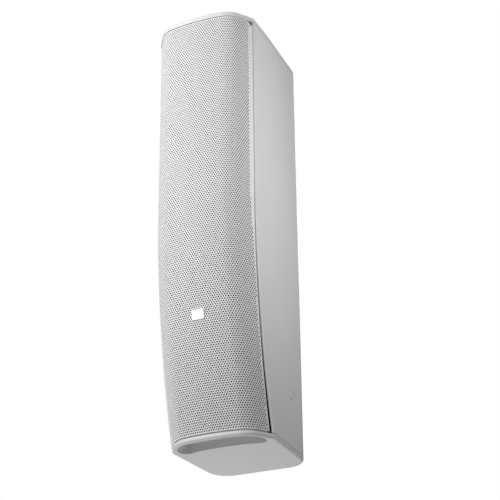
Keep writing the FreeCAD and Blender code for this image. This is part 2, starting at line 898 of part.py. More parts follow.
def make_braces():
    frames = []
    for index in range(DIMENSIONS["woofer_count"] - 1):
        level = brace_height(index)
        body = new_body(f"brace_{index}")
        lift = f"({level} - brace_thickness / 2)"
        plan = new_sketch(body, "XY_Plane", f"brace_plan_{index}", lift)
        behind = "baffle_setback + baffle_thickness + 1.5"
        front = f"({behind} - side_depth + {curve_drop(lift)})"
        inset = "(wall_thickness + slip + 0.2)"
        run = rear_run(inset)
        run.insert(0, (run[0][0], front))
        run.append((run[-1][0], front))
        draw_edges(plan, run)
        draw_rectangle(
            plan,
            "rear_width - 2 * brace_edge",
            f"-{front} - 2 * brace_edge",
            y=f"{front} / 2",
        )
        pad(body, plan, "brace_thickness")
        if index == 0:
            notch = new_sketch(body, "XY_Plane", "cup_notch", lift)
            draw_rectangle(notch, "cup_width + 2 * wall_thickness", "2 * (cup_depth + cup_wall)")
            pocket(body, notch)
        frames.append(body)
    keep(group("brace_group", frames), "braces")

    pads = []
    for index in range(2, DIMENSIONS["woofer_count"]):
        size = ("lining_width", "lining_thickness", "woofer_pitch - brace_thickness - 8")
        place = ("0", "-wall_thickness - slip - lining_thickness / 2", woofer_height(index))
        pads.append(block(f"lining_{index}", size, place))
    keep(group("lining_group", pads), "damping_lining")


# Woofers ----------------------------------------------------------------------------------


def make_woofer(index):
    number = index + 1
    basket = revolve(
        f"woofer_basket_{number}",
        [
            ("woofer_hole_radius - 3.5", "-3"),
            ("woofer_radius", "-3"),
            ("woofer_radius", "0"),
            ("woofer_hole_radius - 1", "0"),
            ("magnet_radius - 3", "motor_start - 3"),
            ("magnet_radius - 3", "motor_start"),
            ("coil_radius + 7", "motor_start"),
            ("coil_radius + 7", "motor_start - 2"),
            ("magnet_radius - 5", "motor_start - 2"),
            ("magnet_radius - 5", "motor_start - 4"),
            ("woofer_hole_radius - 3.5", "-0.5"),
        ],
    )
    window = new_sketch(basket, "XZ_Plane", f"basket_window_{number}")
    inner = "(magnet_radius - 1)"
    outer = "(woofer_hole_radius - 4.5)"
    draw_edges(
        window,
        [(inner, "-10"), (outer, "-13"), (outer, "13"), (inner, "10")],
    )
    opening = pocket(basket, window)
    ring = basket.newObject("PartDesign::PolarPattern", f"basket_windows_{number}")
    ring.Originals = [opening]
    ring.Axis = (window, ["N_Axis"])
    ring.Angle = 360
    ring.Occurrences = 6
    basket.Tip = ring
    keep(driver_place(basket, index), f"woofer_basket_{number}")

    surround = revolve(
        f"woofer_surround_{number}",
        [
            ("cone_radius + 0.5", "-0.4"),
            ("cone_radius + 1.5", "-0.4", "4.2", "left"),
            ("cone_radius + 8.5", "-3.8"),
            ("cone_radius + 12", "-3.8"),
            ("cone_radius + 12", "-3.1"),
            ("cone_radius + 7.9", "-3.1", "3.6", "right"),
            ("cone_radius + 2.1", "0.3"),
            ("cone_radius + 0.5", "0.3"),
        ],
    )
    keep(driver_place(surround, index), f"woofer_surround_{number}")

    cone = revolve(
        f"cone_paper_{number}",
        [
            ("coil_radius + 0.05", "cone_depth"),
            ("cone_radius", "0.6"),
            ("cone_radius", "1.6"),
            ("coil_radius + 0.05", "cone_depth + 1.2"),
        ],
    )
    dust_cap = revolve(
        f"dust_cap_{number}",
        [
            ("0", "cone_depth - 9"),
            ("0", "cone_depth - 9.8", "30", "left"),
            ("coil_radius + 4.5", "cone_depth - 4"),
            ("coil_radius + 4.5", "cone_depth - 3.2", "29.2", "right"),
        ],
    )
    paper = group(f"cone_and_cap_{number}", [driver_place(cone, index)])
    paper.Links = [cone, driver_place(dust_cap, index)]
    keep(paper, f"woofer_cone_{number}")

    coil = revolve(
        f"woofer_coil_{number}",
        [
            ("coil_radius - 0.3", "cone_depth - 1.5"),
            ("coil_radius", "cone_depth - 1.5"),
            ("coil_radius", "motor_start - 2"),
            ("coil_radius + 0.7", "motor_start - 2"),
            ("coil_radius + 0.7", "motor_start + 7"),
            ("coil_radius - 0.3", "motor_start + 7"),
        ],
    )
    keep(driver_place(coil, index), f"woofer_coil_{number}")

    top_plate = revolve(
        f"top_plate_{number}",
        [
            ("coil_radius + 1.35", "motor_start"),
            ("magnet_radius - 5", "motor_start"),
            ("magnet_radius - 5", "motor_start + plate_thickness"),
            ("coil_radius + 1.35", "motor_start + plate_thickness"),
        ],
    )
    magnet_end = "(motor_start + plate_thickness + magnet_thickness)"
    yoke = revolve(
        f"pole_and_back_plate_{number}",
        [
            ("0", "motor_start + 1"),
            ("coil_radius - 0.9", "motor_start + 1"),
            ("coil_radius - 0.9", magnet_end),
            ("magnet_radius - 3", magnet_end),
            ("magnet_radius - 3", f"{magnet_end} + plate_thickness"),
            ("0", f"{magnet_end} + plate_thickness"),
        ],
    )
    plates = group(f"plates_{number}", [driver_place(top_plate, index)])
    plates.Links = [top_plate, driver_place(yoke, index)]
    keep(plates, f"woofer_yoke_{number}")

    magnet = revolve(
        f"magnet_{number}",
        [
            ("coil_radius + 9", "motor_start + plate_thickness"),
            ("magnet_radius", "motor_start + plate_thickness"),
            ("magnet_radius", magnet_end),
            ("coil_radius + 9", magnet_end),
        ],
    )
    spider = revolve(f"spider_{number}", spider_section())
    return driver_place(magnet, index), driver_place(spider, index)


def spider_section():
    """A thin corrugated ring: the upper line out, then the lower line back."""
    waves = 8
    first = "(coil_radius + 0.45)"
    last = "(magnet_radius - 4.2)"
    upper = []
    lower = []
    for step in range(waves + 1):
        radius = f"({first} + ({last} - {first}) * {step} / {waves})"
        ripple = 0.8 * (-1) ** step if 0 < step < waves else 0
        upper.append((radius, f"motor_start - 9 + {ripple}"))
        lower.append((radius, f"motor_start - 8.5 + {ripple}"))
    return upper + lower[::-1]


def make_woofers():
    magnets = []
    spiders = []
    screws = []
    for index in range(DIMENSIONS["woofer_count"]):
        magnet, spider = make_woofer(index)
        magnets.append(magnet)
        spiders.append(spider)
        for across in (-1, 1):
            for up in (-1, 1):
                name = f"woofer_screw_{index}_{across + 1}_{up + 1}"
                spot = [f"{sign} * bolt_circle_radius / sqrt(2)" for sign in (across, up)]
                top = ("head_radius", "-3 - head_height", "head_height")
                stem = ("screw_radius", "-3.01", "screw_length - 4")
                head = driver_rod(f"{name}_head", index, *top, *spot)
                shank = driver_rod(f"{name}_shank", index, *stem, *spot)
                screws.append(joined(name, [head, shank]))
    keep(group("magnet_group", magnets), "woofer_magnets")
    keep(group("spider_group", spiders), "woofer_spiders")
    return screws


# Tweeters ---------------------------------------------------------------------------------


def make_tweeters():
    domes = []
    cups = []
    for index in range(DIMENSIONS["woofer_count"]):
        label = f"tweeter_bar_{index + 1}"
        bar = new_body(label)
        face = new_sketch(bar, "XZ_Plane", f"{label}_face", "tweeter_bar_back")
        draw_rounded(face, "tweeter_bar_width", "tweeter_bar_length", "tweeter_bar_corner")
        for slot in range(4):
            up = f"({slot} - 1.5) * tweeter_pitch"
            draw_circle(face, "0", up, "tweeter_hole_radius")
            cup = driver_rod(
                f"tweeter_cup_{index}_{slot}",
                index,
                "tweeter_magnet_radius",
                "-tweeter_bar_back",
                "tweeter_magnet_length",
                up=up,
            )
            cups.append(cup)
            domes.append(make_dome(index, slot, up))
        pad(bar, face, "tweeter_bar_thickness")
        posts = new_sketch(bar, "XZ_Plane", f"{label}_posts", "0.2")
        for across, up in post_corners():
            draw_circle(posts, across, up, "post_radius")
        pad(bar, posts, "tweeter_bar_back + 1")
        keep(driver_place(bar, index), label)
    keep(group("tweeter_cup_group", cups), "tweeter_magnets")
    keep(group("tweeter_dome_group", domes), "tweeter_domes")


def make_dome(index, slot, up):
    """A shallow cap of a sphere, standing in its hole in the tweeter bar."""
    level = woofer_height(index)
    dome = doc.addObject("Part::Sphere", f"dome_{index}_{slot}")
    bind(dome, "Radius", "tweeter_dome_sphere")
    bind(dome, "Angle1", "tweeter_dome_rim")
    dome.Angle2 = 90
    sink = "tweeter_dome_sphere * sin(tweeter_dome_rim * 1 deg)"
    spot = on_baffle(level, f"seat_depth - tweeter_bar_back - 0.4 + {sink}", up)
    return put(dome, "0", *spot, f"90 deg + {curve_tilt(level)}")


# Back of the enclosure --------------------------------------------------------------------


def make_inserts():
    inserts = []
    for across in (-1, 1):
        for up in (-1, 1):
            name = f"insert_{across + 1}_{up + 1}"
            spot = (f"{across} * insert_spacing_x / 2", "0", f"{up} * insert_spacing_z / 2")
            sleeve = rod(f"{name}_sleeve", "insert_radius", "insert_length", spot, "90 deg")
            bore = rod(f"{name}_bore", "insert_bore_radius", "insert_length + 1", spot, "90 deg")
            inserts.append(cut(name, sleeve, bore))
    keep(group("insert_group", inserts), "wall_inserts")


CUP_FLOOR = "(-slip / 1.5 - cup_depth + cup_wall)"
COVER_AXIS = (
    f"({CUP_FLOOR} + terminal_block_depth + barrel_radius + 3.4)",
    "(-cup_height_centre - terminal_drop + terminal_block_height / 2 + 4)",
)


def make_cup():
    body = new_body("input_cup")
    centre = "-cup_height_centre"
    flange = new_sketch(body, "XZ_Plane", "cup_flange_face", "slip / 1.5")
    draw_rounded(
        flange,
        "cup_width + 2 * cup_flange",
        "cup_height + 2 * cup_flange",
        "cup_corner_radius",
        centre,
    )
    pad(body, flange, "cup_flange_thickness")
    walls = new_sketch(body, "XZ_Plane", "cup_walls", "slip / 1.5 + cup_flange_thickness / 2")
    draw_rounded(walls, "cup_width", "cup_height", "(cup_corner_radius - 2)", centre)
    pad(body, walls, "cup_depth - cup_flange_thickness / 2")
    inside = new_sketch(body, "XZ_Plane", "cup_inside", "slip / 1.5")
    draw_rounded(
        inside,
        "cup_width - 2 * cup_wall",
        "cup_height - 2 * cup_wall",
        "(cup_corner_radius - 4)",
        centre,
    )
    pocket(body, inside, "cup_depth - cup_wall", reverse=True)
    lugs = new_sketch(body, "XZ_Plane", "cover_lugs", f"-{CUP_FLOOR} + 0.5")
    for side in (-1, 1):
        spot = f"{side} * (cover_width / 2 + 2)"
        draw_rectangle(lugs, "3", "8", x=spot, y=COVER_AXIS[1])
    pad(body, lugs, f"{COVER_AXIS[0]} - {CUP_FLOOR} + barrel_radius + 0.5", reverse=True)
    pin_hole = new_sketch(body, "YZ_Plane", "cover_pin_hole")
    draw_circle(pin_hole, *COVER_AXIS, "pin_radius + running_fit")
    pocket(body, pin_hole)
    shaft_hole = new_sketch(body, "XZ_Plane", "selector_hole")
    draw_circle(shaft_hole, "0", centre, "shaft_radius + 2 * running_fit")
    for step in (0, 1):
        level = f"{centre} + slider_rise + {step} * slider_spacing"
        slot = ("slider_travel + slider_size + 1.2", "slider_size + 0.8")
        draw_rectangle(shaft_hole, *slot, y=level)
    pocket(body, shaft_hole, "cup_depth + 5", reverse=True)
    keep(body, "input_cup")


def make_terminals():
    level = "(-cup_height_centre - terminal_drop)"
    size = ("terminal_block_width", "terminal_block_depth", "terminal_block_height")
    place = ("0", f"{CUP_FLOOR} + terminal_block_depth / 2", level)
    base = block("terminal_base", size, place)
    pockets = []
    screws = []
    for index in range(int(DIMENSIONS["terminal_count"])):
        across = f"({index} - 1.5) * terminal_pitch"
        face = f"{CUP_FLOOR} + terminal_block_depth"
        slot = ("terminal_pitch - 3", "6", "terminal_block_height - 6")
        pockets.append(block(f"terminal_slot_{index}", slot, (across, face, level)))
        start = (across, f"{face} - 3", level)
        head = rod(f"terminal_head_{index}", "head_radius", "head_height", start, "-90 deg")
        clamp = ("terminal_pitch - 4", "1.2", "9")
        washer = block(f"terminal_clamp_{index}", clamp, (across, f"{face} - 2.4", level))
        screws.append(joined(f"terminal_screw_{index}", [head, washer]))
    keep(cut("terminal_moulding", base, joined("terminal_slots", pockets)), "terminal_block")
    keep(group("terminal_screw_group", screws), "terminal_screws")

    barrel = rod(
        "cover_barrel",
        "barrel_radius",
        "cover_width",
        ("-cover_width / 2", *COVER_AXIS),
        "90 deg",
        (0, 1, 0),
    )
    flap_size = ("cover_width", "cover_thickness", "cover_height")
    flap_depth = f"{COVER_AXIS[0]} + barrel_radius - cover_thickness / 2"
    flap = block("cover_flap", flap_size, ("0", flap_depth, f"{COVER_AXIS[1]} - cover_height / 2"))
    hole = rod(
        "cover_bore",
        "pin_radius + running_fit",
        "cover_width + 2",
        ("-cover_width / 2 - 1", *COVER_AXIS),
        "90 deg",
        (0, 1, 0),
    )
    cover = cut("cover_moulding", joined("cover_solid", [barrel, flap]), hole)
    keep(cover, "terminal_cover")
    pin = rod(
        "pin_rod",
        "pin_radius",
        "cover_width + 7",
        ("-cover_width / 2 - 3.5", *COVER_AXIS),
        "90 deg",
        (0, 1, 0),
    )
    keep(pin, "cover_pin")


def make_switches():
    centre = "-cup_height_centre"
    knob_start = ("0", f"{CUP_FLOOR} + 0.6", centre)
    grip = rod("knob_grip", "knob_radius", "knob_length", knob_start, "-90 deg")
    bore = rod("knob_bore", "shaft_radius + running_fit", "knob_length - 3", knob_start, "-90 deg")
    groove_place = ("0", f"{CUP_FLOOR} + knob_length + 0.6", f"{centre} + knob_radius / 2")
    groove = block("knob_groove", ("1.6", "2", "knob_radius"), groove_place)
    flutes = [bore, groove]
    flute_count = 12
    for index in range(flute_count):
        turn = f"({index} + 0.5) * 360 deg / {flute_count}"
        spot = (
            f"(knob_radius + 0.9) * sin({turn})",
            f"{CUP_FLOOR} + 2.6",
            f"{centre} + (knob_radius + 0.9) * cos({turn})",
        )
        flutes.append(rod(f"knob_flute_{index}", "2", "knob_length", spot, "-90 deg"))
    keep(cut("knob_moulding", grip, joined("knob_cuts", flutes)), "selector_knob")
    behind = f"{CUP_FLOOR} - cup_wall"
    shaft_start = ("0", f"{behind} - 1.5", centre)
    shaft = rod("shaft_rod", "shaft_radius", "cup_wall + knob_length - 2.6", shaft_start, "-90 deg")
    keep(shaft, "selector_shaft")
    body_start = ("0", f"{behind} - 0.2", centre)
    wafer = rod("selector_can", "selector_radius", "selector_length", body_start, "90 deg")
    socket = rod("selector_socket", "shaft_radius + running_fit", "2", body_start, "90 deg")
    cans = [cut("selector_can_bored", wafer, socket)]

    for step, label in ((0, "voicing_slider"), (1, "coverage_slider")):
        level = f"({centre} + slider_rise + {step} * slider_spacing)"
        size = ("slider_size", "9", "slider_size")
        place = ("-slider_travel / 2", f"{CUP_FLOOR} - cup_wall - 1.2 + 4.5", level)
        keep(block(f"{label}_block", size, place), label)
        can = block(
            f"slide_can_{step}",
            ("slide_can_width", "slide_can_depth", "slide_can_height"),
            ("0", f"{behind} - slide_can_depth / 2 - 1.6", level),
        )
        cans.append(can)
    keep(group("switch_can_group", cans), "switch_bodies")


def make_cup_screws():
    screws = []
    for across in (-1, 1):
        for up in (-1, 0, 1):
            spot = (
                f"{across} * (cup_width / 2 + cup_flange / 2)",
                f"-cup_height_centre + {up} * (cup_height / 2 - cup_screw_margin)",
            )
            name = f"cup_screw_{across + 1}_{up + 1}"
            face = "-slip / 1.5 - 0.6"
            top = ("cup_screw_head_radius", "cup_screw_head_height")
            stem = ("cup_screw_radius", "cup_screw_length")
            head = rod(f"{name}_head", *top, (spot[0], f"{face} + 0.7", spot[1]), "90 deg")
            shank = rod(f"{name}_shank", *stem, (spot[0], face, spot[1]), "90 deg")
            screws.append(joined(name, [head, shank]))
    return screws


# Electronics ------------------------------------------------------------------------------


def make_electronics():
    floor_back = f"({CUP_FLOOR} - cup_wall)"
    depth = f"({floor_back} - board_distance)"
    centre = "-cup_height_centre"
    size = ("board_width", "board_thickness", "board_height")
    panel = block("board_panel", size, ("0", f"{depth} - board_thickness / 2", centre))
    keep(panel, "crossover_board")

    posts = []
    stem = ("board_post_radius", "board_distance")
    for across in (-1, 1):
        for up in (-1, 1):
            spot = (f"{across} * (board_width / 2 - 8)", f"{centre} + {up} * (board_height / 2 - 5)")
            start = (spot[0], floor_back, spot[1])
            posts.append(rod(f"post_{across + 1}_{up + 1}", *stem, start, "90 deg"))
    keep(group("post_group", posts), "board_posts")

    front = f"({depth} - board_thickness)"
    coils = []
    for index, (across, up) in enumerate(((-18, 48), (18, -46))):
        start = (str(across), front, f"{centre} + {up}")
        outer = ("board_coil_radius", "board_coil_length")
        inner = ("board_coil_radius - 10", "board_coil_length + 1")
        wound = rod(f"coil_outer_{index}", *outer, start, "90 deg")
        hollow = rod(f"coil_inner_{index}", *inner, start, "90 deg")
        coils.append(cut(f"coil_{index}", wound, hollow))
    keep(group("coil_group", coils), "crossover_coils")

    cans = []
    can = ("capacitor_radius", "capacitor_length")
    for index in range(3):
        up = f"{centre} + {index} * capacitor_pitch - 20"
        start = ("6 - board_width / 2", f"{front} - capacitor_radius", up)
        cans.append(rod(f"capacitor_{index}", *can, start, "90 deg", (0, 1, 0)))
    keep(group("capacitor_group", cans), "crossover_capacitors")

    resistors = []
    for index in range(2):
        up = f"{centre} + {index} * resistor_pitch + 2"
        size = ("resistor_length", "resistor_depth", "resistor_height")
        place = ("resistor_length / 2 - 1", f"{front} - 5", up)
        resistors.append(block(f"resistor_{index}", size, place))
    keep(group("resistor_group", resistors), "crossover_resistors")

    middle = ("0", "-core_setback", f"{BOTTOM} + cap_height + 0.2 + core_height / 2")
    stack = block("core_stack", ("core_width", "core_depth", "core_height"), middle)
    windows = []
    for side in (-1, 1):
        place = (f"{side} * core_width / 4", middle[1], middle[2])
        size = ("core_width / 6", "core_depth + 2", "core_height - 20")
        windows.append(block(f"core_window_{side + 1}", size, place))
    keep(cut("core_lamination", stack, joined("core_windows", windows)), "transformer_core")
    outside = ("core_width * 2 / 3 - 0.8", "core_depth + 16", "core_height - 21")
    wound = block("winding_outside", outside, middle)
    limb = ("core_width / 3 + 0.6", "core_depth + 0.6", "core_height")
    keep(cut("winding", wound, block("winding_bore", limb, middle)), "transformer_winding")


def make_wiring():
    """A harness up the inside of the back, with one branch to each of the upper woofers."""
    low = "(-cup_height_centre + 20)"
    high = woofer_height(DIMENSIONS["woofer_count"] - 1)
    start = ("wire_offset", "-wire_depth", low)
    runs = [rod("trunk", "trunk_radius", f"{high} - {low} + 8", start)]
    for index in range(1, DIMENSIONS["woofer_count"]):
        level = woofer_height(index)
        room = f"(side_depth - wire_depth - baffle_setback - {curve_drop(level)} - wire_slack)"
        start = ("wire_offset", "-wire_depth", level)
        runs.append(rod(f"branch_{index}", "branch_radius", room, start, "90 deg"))
    keep(joined("harness", runs), "wiring_loom")


def make_baffle_screws():
    screws = []
    levels = [brace_height(index) for index in range(DIMENSIONS["woofer_count"] - 1)]
    for row, level in enumerate(levels):
        for across in (-1, 1):
            name = f"baffle_screw_{row}_{across + 1}"
            tilt = curve_tilt(level)
            spot = (f"{across} * baffle_screw_offset", *on_baffle(level, "0"))
            head = rod(f"{name}_head", "head_radius", "head_height", spot, f"90 deg + {tilt}")
            stem = ("screw_radius", "screw_length", spot, f"-90 deg + {tilt}")
            screws.append(joined(name, [head, rod(f"{name}_shank", *stem)]))
    return screws


# Build, check and write -------------------------------------------------------------------

make_shell()
make_top_cap()
make_bottom_cap()
make_seam_gaskets()
make_grille()
make_baffle()
make_braces()
woofer_screws = make_woofers()
make_tweeters()
make_inserts()
make_cup()
make_terminals()
make_switches()
make_electronics()
make_wiring()
keep(group("baffle_screw_group", woofer_screws + make_baffle_screws()), "baffle_screws")
keep(group("cup_screw_group", make_cup_screws()), "cup_screws")
doc.recompute()

for item in doc.Objects:
    if {"Invalid", "Error"} & set(item.State):
        raise RuntimeError(f"{item.Name} did not build: {item.State}")
for label, item in nodes.items():
    if item.Shape.isNull() or not item.Shape.isValid() or not item.Shape.Solids:
        raise RuntimeError(f"{label} has no valid solid")

os.makedirs("parts", exist_ok=True)
for label, item in nodes.items():
    item.Shape.exportStep(f"parts/{label}.step")
    print(f"{label}: {len(item.Shape.Solids)} solids, {item.Shape.Volume / 1000:.2f} cm3")
print(len(nodes), "nodes")
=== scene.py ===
import json
import math

import bpy
from mathutils import Matrix, Vector, noise


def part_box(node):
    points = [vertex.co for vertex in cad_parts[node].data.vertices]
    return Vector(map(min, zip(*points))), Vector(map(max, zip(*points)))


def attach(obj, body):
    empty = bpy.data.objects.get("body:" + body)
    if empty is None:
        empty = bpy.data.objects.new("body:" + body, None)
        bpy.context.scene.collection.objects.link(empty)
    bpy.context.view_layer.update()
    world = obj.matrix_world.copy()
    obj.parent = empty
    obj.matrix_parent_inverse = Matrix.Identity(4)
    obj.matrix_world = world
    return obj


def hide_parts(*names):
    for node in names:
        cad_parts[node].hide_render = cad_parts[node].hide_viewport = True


# Looks for the column loudspeaker: a perforated grille and its cloth, padded lining, a finish
# for every moulding, driver and electronic part, a pale studio, and the camera.

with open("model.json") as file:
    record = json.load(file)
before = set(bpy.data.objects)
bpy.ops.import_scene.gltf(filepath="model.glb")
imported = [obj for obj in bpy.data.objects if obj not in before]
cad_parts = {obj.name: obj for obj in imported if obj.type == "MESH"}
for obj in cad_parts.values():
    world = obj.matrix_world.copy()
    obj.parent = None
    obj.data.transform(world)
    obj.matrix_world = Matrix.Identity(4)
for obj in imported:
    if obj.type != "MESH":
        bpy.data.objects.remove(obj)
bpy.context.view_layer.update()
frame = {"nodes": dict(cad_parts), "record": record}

# Finishes ---------------------------------------------------------------------------------


def opaque(colour):
    """A socket as it is, or three numbers with an alpha of 1."""
    return colour if isinstance(colour, bpy.types.NodeSocket) else (*colour, 1.0)


class Finish:
    """A procedural material, put together from a few texture nodes."""

    def __init__(self, name, roughness=0.5, metallic=0.0):
        self.material = bpy.data.materials.new(name)
        self.material.use_nodes = True
        self.tree = self.material.node_tree
        self.shader = self.tree.nodes["Principled BSDF"]
        self.place = self.node("ShaderNodeTexCoord").outputs["Object"]
        self.height = None
        self.set("Roughness", roughness)
        self.set("Metallic", metallic)

    def node(self, kind, **settings):
        made = self.tree.nodes.new(kind)
        for name, value in settings.items():
            setattr(made, name, value)
        return made

    def link(self, value, socket):
        """Feed a socket from another one, or give it a constant."""
        if isinstance(value, bpy.types.NodeSocket):
            self.tree.links.new(value, socket)
        else:
            socket.default_value = value

    def set(self, socket, value):
        self.link(value, self.shader.inputs[socket])

    def math(self, operation, first, second=0.0):
        made = self.node("ShaderNodeMath", operation=operation)
        self.link(first, made.inputs[0])
        self.link(second, made.inputs[1])
        return made.outputs[0]

    def stretched(self, factors):
        made = self.node("ShaderNodeVectorMath", operation="MULTIPLY")
        self.link(self.place, made.inputs[0])
        made.inputs[1].default_value = factors
        return made.outputs[0]

    def noise(self, scale, detail=3.0, stretch=(1, 1, 1), rough=0.5):
        made = self.node("ShaderNodeTexNoise")
        self.link(self.stretched(stretch), made.inputs["Vector"])
        made.inputs["Scale"].default_value = scale
        made.inputs["Detail"].default_value = detail
        made.inputs["Roughness"].default_value = rough
        return made.outputs["Fac"]

    def cells(self, scale, stretch=(1, 1, 1), feature="F1"):
        made = self.node("ShaderNodeTexVoronoi", feature=feature)
        self.link(self.stretched(stretch), made.inputs["Vector"])
        made.inputs["Scale"].default_value = scale
        return made.outputs["Distance"]

    def bands(self, axis, pitch, phase=0.0):
        """Ridges across one axis, from 0 to 1, a pitch apart."""
        split = self.node("ShaderNodeSeparateXYZ")
        self.link(self.place, split.inputs[0])
        turns = self.math("MULTIPLY", split.outputs[axis], 2 * math.pi / pitch)
        wave = self.math("SINE", self.math("ADD", turns, phase))
        return self.math("MULTIPLY", self.math("ADD", wave, 1.0), 0.5)

    def spread(self, value, low, high, start=0.0, end=1.0):
        made = self.node("ShaderNodeMapRange")
        self.link(value, made.inputs["Value"])
        for socket, number in zip(("From Min", "From Max", "To Min", "To Max"), (start, end, low, high)):
            made.inputs[socket].default_value = number
        return made.outputs["Result"]

    def blend(self, share, first, second):
        """A colour between two, each one a socket or three numbers."""
        made = self.node("ShaderNodeMix", data_type="RGBA")
        self.link(share, made.inputs["Factor"])
        for socket, colour in ((made.inputs[6], first), (made.inputs[7], second)):
            self.link(opaque(colour), socket)
        return made.outputs[2]

    def colour(self, value):
        self.set("Base Color", opaque(value))

    def bump(self, height, distance, strength=1.0):
        """Lay one more relief over those already there, a distance in metres high."""
        made = self.node("ShaderNodeBump")
        made.inputs["Strength"].default_value = strength
        made.inputs["Distance"].default_value = distance
        self.link(height, made.inputs["Height"])
        if self.height is not None:
            self.link(self.height, made.inputs["Normal"])
        self.height = made.outputs["Normal"]
        self.set("Normal", self.height)

    def edges(self, radius):
        """Near 1 on sharp edges and 0 on open faces."""
        rounded = self.node("ShaderNodeBevel", samples=4)
        rounded.inputs["Radius"].default_value = radius
        facing = self.node("ShaderNodeNewGeometry")
        match = self.node("ShaderNodeVectorMath", operation="DOT_PRODUCT")
        self.link(rounded.outputs["Normal"], match.inputs[0])
        self.link(facing.outputs["Normal"], match.inputs[1])
        return self.spread(match.outputs["Value"], 1.0, 0.0, 0.75, 0.99)


def darker(colour, share):
    return tuple(part * share for part in colour)


def moulded(name, colour, roughness, grain=1500, relief=0.00006, variation=0.05):
    """Moulded plastic or paint with a fine texture, soft mottling and a painted highlight on its sharp
    edges.
    """
    made = Finish(name)
    mottle = made.noise(9, 4)
    body = made.blend(mottle, darker(colour, 1 - variation), colour)
    speck = made.spread(made.noise(grain / 2, 2), 0.0, 0.35, 0.55, 0.8)
    body = made.blend(speck, body, darker(colour, 1 - 1.6 * variation))
    # Sharp edges are blended towards a lighter tone: a painted edge highlight.
    painted_edge_highlight = made.math("MULTIPLY", made.edges(0.0012), 0.35)
    made.colour(made.blend(painted_edge_highlight, body, tuple(min(1.0, part * 1.06 + 0.02) for part in colour)))
    made.set("Roughness", made.spread(made.noise(grain / 8, 3), roughness - 0.06, roughness + 0.08))
    made.bump(made.cells(grain), relief, 0.35)
    made.bump(made.noise(40, 2), 0.0004, 0.12)
    return made


def metal(name, colour, roughness, stretch=(1, 1, 1), scale=600):
    """Bare or plated metal with fine brush marks and a little tarnish."""
    made = Finish(name, metallic=1.0)
    streaks = made.noise(scale, 4, stretch)
    stain = made.spread(made.noise(55, 4), 0.0, 0.25, 0.45, 0.75)
    body = made.blend(streaks, darker(colour, 0.82), colour)
    made.colour(made.blend(stain, body, darker(colour, 0.5)))
    made.set("Roughness", made.spread(streaks, roughness - 0.08, roughness + 0.14))
    made.bump(streaks, 0.00004, 0.3)
    return made


def woven(name, colour, pitch, relief, shadow=0.45, roughness=0.9):
    """Cloth of crossed threads along Z and across, fuzzy and slightly uneven."""
    made = Finish(name, roughness)
    across = made.bands("X", pitch)
    along = made.bands("Z", pitch)
    swap = made.math("MULTIPLY", made.bands("X", 2 * pitch), made.bands("Z", 2 * pitch, math.pi / 2))
    weave = made.math("MULTIPLY", made.math("MAXIMUM", across, along), made.spread(swap, 0.75, 1.0))
    uneven = made.spread(made.noise(90, 4), 0.88, 1.0)
    thread = made.math("MULTIPLY", weave, uneven)
    made.colour(made.blend(thread, darker(colour, shadow), colour))
    made.set("Sheen Weight", 0.25)
    made.set("Sheen Roughness", 0.5)
    made.bump(thread, relief, 0.8)
    made.bump(made.noise(2600, 2), relief / 4, 0.5)
    return made


def board(name, colour, roughness=0.75):
    """Pressed fibreboard with flecks of fibre."""
    made = Finish(name)
    fibres = made.noise(700, 5, (1, 1, 0.35), 0.65)
    body = made.blend(fibres, darker(colour, 0.72), tuple(min(1, part * 1.15) for part in colour))
    fleck = made.spread(made.cells(420, (1, 1, 0.4)), 0.5, 0.0, 0.0, 0.22)
    made.colour(made.blend(fleck, body, darker(colour, 0.55)))
    made.set("Roughness", made.spread(fibres, roughness - 0.1, roughness + 0.12))
    made.bump(fibres, 0.00015, 0.4)
    return made


def paper(name, colour):
    """Pressed pulp with long fibres and a dull coat."""
    made = Finish(name)
    fibres = made.noise(520, 6, (1, 0.4, 1), 0.7)
    lumps = made.noise(140, 3)
    made.colour(made.blend(fibres, darker(colour, 0.6), tuple(part * 1.5 for part in colour)))
    made.set("Roughness", made.spread(lumps, 0.55, 0.8))
    made.bump(fibres, 0.0002, 0.5)
    made.bump(lumps, 0.0003, 0.25)
    return made


def wound(name, colour, pitch):
    """Enamelled wire wound in close turns, with painted shade in the grooves between turns."""
    made = Finish(name, 0.3, 0.85)
    turns = made.bands("Y", pitch)
    # The grooves between turns are darkened: painted shade.
    made.colour(made.blend(turns, darker(colour, 0.35), colour))
    made.set("Roughness", made.spread(made.noise(300, 3), 0.22, 0.42))
    made.bump(turns, pitch / 3, 0.9)
    return made


def stacked(name, colour, pitch):
    """Thin steel sheets stacked into a core, with dull cut edges."""
    made = Finish(name, 0.5, 0.8)
    layers = made.bands("Y", pitch)
    rust = made.spread(made.noise(120, 4), 0.0, 0.3, 0.55, 0.75)
    body = made.blend(layers, darker(colour, 0.55), colour)
    made.colour(made.blend(rust, body, (0.24, 0.15, 0.09)))
    made.set("Roughness", made.spread(layers, 0.65, 0.45))
    made.bump(layers, pitch / 4, 0.7)
    return made


def circuit(name, colour):
    """Solder mask over copper tracks."""
    made = Finish(name)
    tracks = made.spread(made.cells(95, feature="DISTANCE_TO_EDGE"), 1.0, 0.0, 0.05, 0.09)
    made.colour(made.blend(tracks, colour, tuple(part * 2.0 for part in colour)))
    made.set("Roughness", made.spread(made.noise(220, 2), 0.24, 0.36))
    made.set("Coat Weight", 0.3)
    made.bump(tracks, 0.00006, 0.8)
    return made


def rubber(name, colour, roughness=0.7, grain=900):
    """Soft dark rubber or foam with a bloom of dust."""
    made = Finish(name)
    dust = made.spread(made.noise(28, 5), 0.0, 0.35, 0.5, 0.8)
    made.colour(made.blend(dust, colour, tuple(part * 1.8 + 0.02 for part in colour)))
    made.set("Roughness", made.spread(made.noise(grain / 5, 3), roughness - 0.1, roughness + 0.12))
    made.bump(made.noise(grain, 3), 0.00012, 0.4)
    return made


def fluffy(name, colour):
    """Loose polyester fibre."""
    made = Finish(name, 0.95)
    fibres = made.noise(260, 6, rough=0.8)
    made.colour(made.blend(fibres, darker(colour, 0.7), colour))
    made.set("Sheen Weight", 0.4)
    made.bump(fibres, 0.0015, 0.9)
    return made


